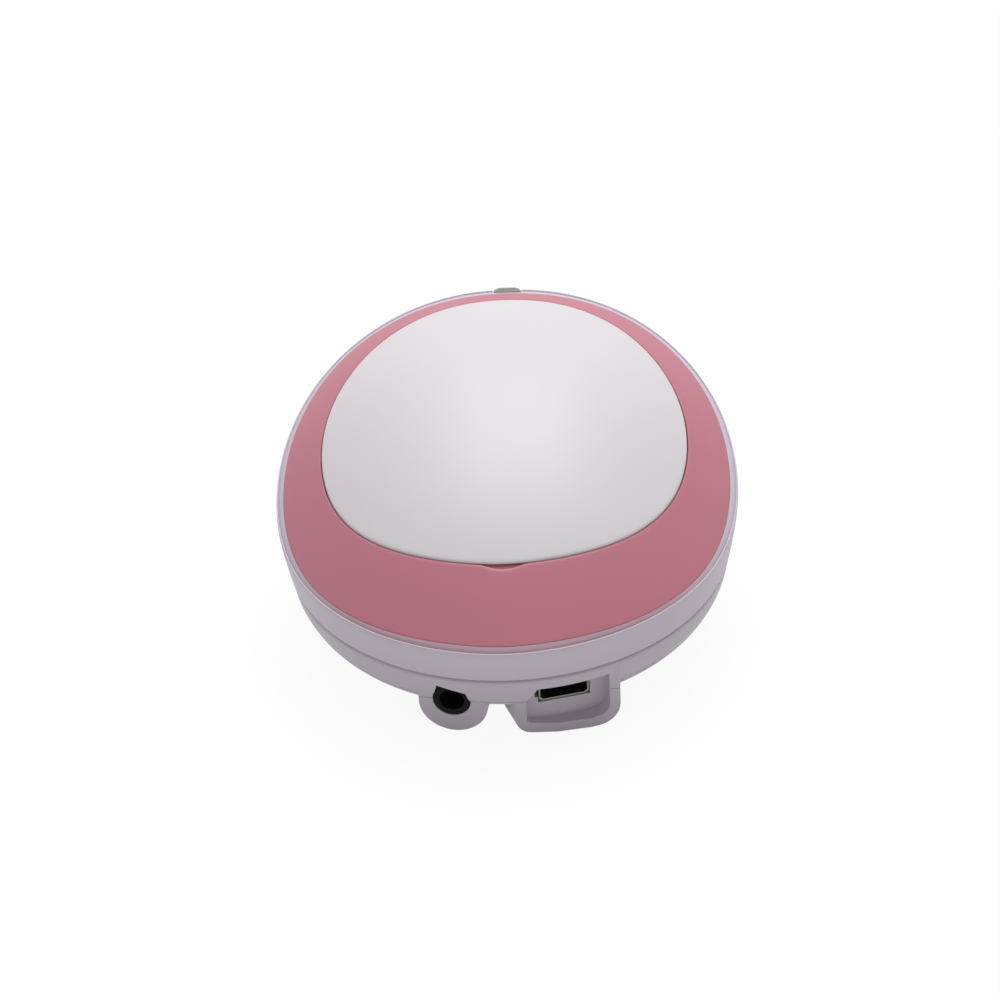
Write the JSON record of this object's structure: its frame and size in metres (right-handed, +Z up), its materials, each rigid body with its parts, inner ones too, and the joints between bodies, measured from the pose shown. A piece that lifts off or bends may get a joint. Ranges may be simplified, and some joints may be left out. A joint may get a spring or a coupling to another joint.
{
  "type": "fetal doppler monitor",
  "caption": "Palm-sized pebble-shaped fetal doppler with a domed battery cover, accent ring, rear power button, headphone and charging sockets, and a round probe underneath.",
  "frame": {"origin": "under the middle of the bounding box, on the surface that the probe face rests on", "axes": "+Z up out of the dome; -Y towards the front, where the sockets are; the power button is at +Y"},
  "size_m": [0.0694, 0.073, 0.0444],
  "materials": {
    "pearl_white": "satin, pearlescent",
    "dusty_pink": "satin, pearlescent",
    "shell_white": "satin, faintly lilac",
    "window_grey": "fine matte",
    "seal_rubber": "matte",
    "ceramic": "silvered ceramic",
    "cork_brown": "matte",
    "tinned_steel": "bright",
    "lead_grey": "matte",
    "board_green": "solder mask",
    "chip_black": "moulded",
    "capacitor_tan": "ceramic",
    "screw_steel": "zinc plated",
    "socket_black": "moulded",
    "contact_gold": "plated",
    "cell_silver": "foil pouch",
    "pad_foam": "foam",
    "lead_red": "matte",
    "plug_white": "moulded",
    "button_grey": "matte",
    "plunger_tan": "moulded",
    "ribbon_amber": "polyimide film"
  },
  "bodies": {
    "housing": {"accent_ring": "dusty_pink", "upper_shell": "shell_white", "lower_shell": "shell_white", "probe_housing": "shell_white", "probe_face": "window_grey", "probe_gasket": "seal_rubber", "transmit_crystal": "ceramic", "receive_crystal": "ceramic", "crystal_divider": "cork_brown", "backing_pad": "seal_rubber", "shield_can": "tinned_steel", "transducer_leads": "lead_grey", "main_board": "board_green", "controller_chip": "chip_black", "amplifier_chip": "chip_black", "charger_chip": "chip_black", "crystal_can": "tinned_steel", "capacitors": "capacitor_tan", "power_inductor": "chip_black", "board_screws": "screw_steel", "housing_screws": "screw_steel", "headphone_jack": "socket_black", "jack_contacts": "contact_gold", "usb_shell": "tinned_steel", "usb_tongue": "socket_black", "battery_cell": "cell_silver", "battery_pad": "pad_foam", "battery_leads": "lead_red", "battery_plug": "plug_white", "battery_socket": "plug_white", "tact_switch": "chip_black", "switch_board": "board_green", "switch_ribbon": "ribbon_amber", "ribbon_socket": "plug_white"},
    "cover": {"dome_cover": "pearl_white"},
    "button": {"power_button": "button_grey"},
    "plunger": {"switch_plunger": "plunger_tan"}
  },
  "joints": [
    {"name": "cover_lift", "type": "slide", "parent": "housing", "child": "cover", "axis": [0, 0, 1], "range_m": [0, 0.02]},
    {"name": "button_press", "type": "slide", "parent": "housing", "child": "button", "axis": [0, -1, 0], "range_m": [0, 0.0003], "stiffness_N_per_m": 5000},
    {"name": "plunger_press", "type": "slide", "parent": "housing", "child": "plunger", "axis": [0, -1, 0], "range_m": [0, 0.0003]}
  ],
  "couplings": [
    {"joint": "plunger_press", "follows": "button_press", "ratio": 1}
  ]
}
